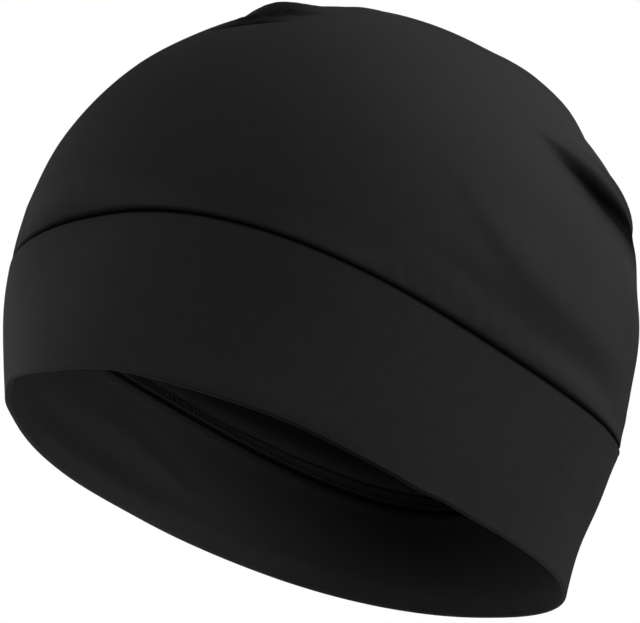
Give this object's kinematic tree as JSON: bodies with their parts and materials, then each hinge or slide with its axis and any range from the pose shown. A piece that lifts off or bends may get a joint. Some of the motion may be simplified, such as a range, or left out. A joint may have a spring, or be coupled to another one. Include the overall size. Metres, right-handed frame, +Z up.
{
  "type": "skull cap",
  "caption": "Close-fitting knit skull cap: a smooth hollow crown on a wide plain doubled band folded at the rim, in the shape it takes on a head.",
  "frame": {"origin": "middle of the head opening, at the level of the folded rim", "axes": "+Z up along the cap towards its top, -Y towards the forehead, +Y towards the nape, +X towards the left ear of the wearer"},
  "size_m": [0.1727, 0.201, 0.1608],
  "materials": {
    "crown_knit": "smooth matt stretch jersey, fine vertical wales",
    "band_knit": "smooth matt stretch jersey, two layers",
    "overlock": "overlocked edge, fine looped thread"
  },
  "bodies": {
    "root": {"crown": "crown_knit", "band": "band_knit", "seam_allowance": "overlock"}
  },
  "joints": []
}
